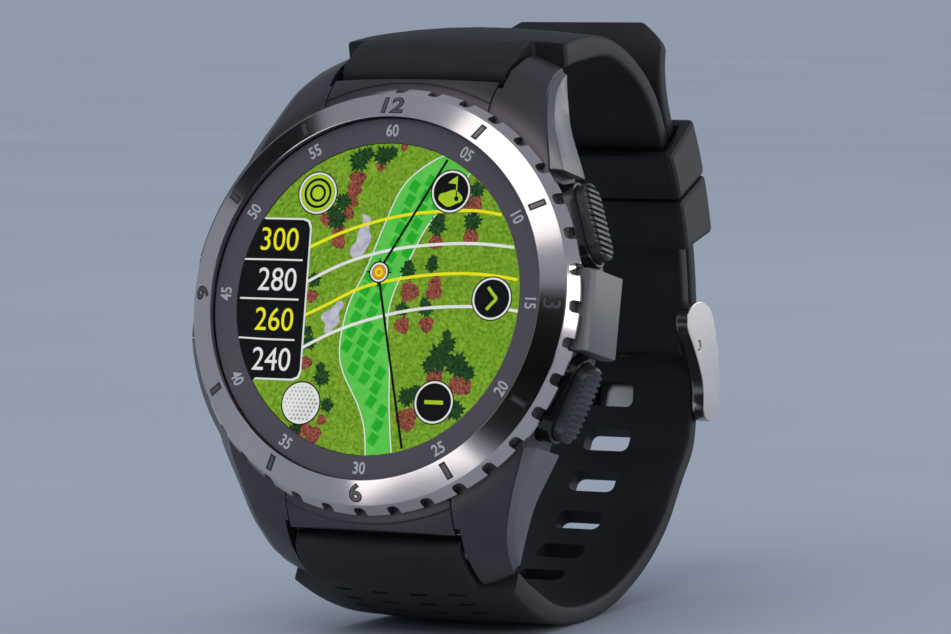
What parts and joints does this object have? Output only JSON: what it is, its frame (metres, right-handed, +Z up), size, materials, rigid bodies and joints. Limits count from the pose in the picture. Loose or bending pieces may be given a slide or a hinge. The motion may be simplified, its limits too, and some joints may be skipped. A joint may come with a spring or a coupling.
{
  "type": "golf gps watch",
  "caption": "Round wristwatch with a notched bezel, colour map display, two side pushers, guard block and a buckled rubber strap closed into a loop.",
  "frame": {"origin": "middle of the wrist loop, 36 mm behind the display on the display axis", "axes": "+X to the 3 o'clock side along the wrist, -Y the way the face looks, +Z up; the face is tipped back 12.5 degrees, so the watch leans back on its strap"},
  "size_m": [0.0504, 0.0738, 0.0698],
  "materials": {
    "lens_glass": "polished, clear",
    "ring_print": "dark satin print under glass",
    "black_seal": "matt black",
    "display_face": "lit colour display",
    "flex_film": "amber film",
    "bezel_steel": "polished slope, fine brushed band, smoked",
    "case_gunmetal": "satin gunmetal, slightly warm",
    "panel_grey": "satin dark grey",
    "guard_grey": "satin mid grey",
    "back_black": "matt black",
    "screw_steel": "turned steel",
    "contact_gold": "gold plated",
    "inner_plastic": "moulded",
    "board_green": "solder mask",
    "chip_black": "moulded epoxy",
    "battery_foil": "foil pouch",
    "antenna_ceramic": "sintered ceramic",
    "bar_steel": "turned steel",
    "strap_rubber": "matt black silicone rubber",
    "keeper_rubber": "matt black silicone rubber",
    "buckle_steel": "polished edges, brushed outer face",
    "collar_gloss": "glossy black",
    "pusher_grey": "satin grey, knurled"
  },
  "bodies": {
    "watch": {"lens": "lens_glass", "minute_ring": "ring_print", "lens_gasket": "black_seal", "display_panel": "display_face", "display_flex": "flex_film", "bezel_ring": "bezel_steel", "mid_case": "case_gunmetal", "upper_hood": "case_gunmetal", "lower_hood": "case_gunmetal", "right_upper_flank_panel": "panel_grey", "right_lower_flank_panel": "panel_grey", "left_upper_flank_panel": "panel_grey", "left_lower_flank_panel": "panel_grey", "right_guard": "guard_grey", "left_guard": "guard_grey", "case_back": "back_black", "case_back_gasket": "black_seal", "case_back_screws": "screw_steel", "charging_contacts": "contact_gold", "inner_chassis": "inner_plastic", "main_board": "board_green", "board_chips": "chip_black", "button_switches": "chip_black", "battery_cell": "battery_foil", "gps_antenna": "antenna_ceramic", "vibration_motor": "screw_steel", "upper_spring_bar": "bar_steel", "lower_spring_bar": "bar_steel", "upper_strap": "strap_rubber", "lower_strap": "strap_rubber", "fixed_keeper": "keeper_rubber", "buckle_pin": "bar_steel", "upper_pusher_collar": "collar_gloss", "upper_pusher_spring": "bar_steel", "lower_pusher_collar": "collar_gloss", "lower_pusher_spring": "bar_steel"},
    "upper_pusher": {"upper_pusher_cap": "pusher_grey", "upper_pusher_stem": "bar_steel", "upper_pusher_clip": "bar_steel", "upper_pusher_seal": "black_seal"},
    "lower_pusher": {"lower_pusher_cap": "pusher_grey", "lower_pusher_stem": "bar_steel", "lower_pusher_clip": "bar_steel", "lower_pusher_seal": "black_seal"},
    "keeper_loop": {"sliding_keeper": "keeper_rubber"},
    "buckle": {"buckle_frame": "buckle_steel"},
    "tongue": {"buckle_tongue": "buckle_steel"}
  },
  "joints": [
    {"name": "upper_pusher_press", "type": "slide", "parent": "watch", "child": "upper_pusher", "axis": [-0.9397, -0.074, -0.3339], "range_m": [0, 0.0008], "stiffness_N_per_m": 1200, "springref_m": -0.0005, "deforming": ["upper_pusher_spring"]},
    {"name": "lower_pusher_press", "type": "slide", "parent": "watch", "child": "lower_pusher", "axis": [-0.9397, 0.074, 0.3339], "range_m": [0, 0.0008], "stiffness_N_per_m": 1200, "springref_m": -0.0005, "deforming": ["lower_pusher_spring"]},
    {"name": "keeper_slide", "type": "hinge", "parent": "watch", "child": "keeper_loop", "pos_m": [0, -0.01462, 0.0015], "axis": [1, 0, 0], "range_deg": [0, 3]},
    {"name": "buckle_hinge", "type": "hinge", "parent": "watch", "child": "buckle", "pos_m": [0, 0.02634, -0.00115], "axis": [1, 0, 0], "range_deg": [0, 8]},
    {"name": "tongue_hinge", "type": "hinge", "parent": "buckle", "child": "tongue", "pos_m": [0, 0.02634, -0.00115], "axis": [1, 0, 0], "range_deg": [0, 8]}
  ]
}
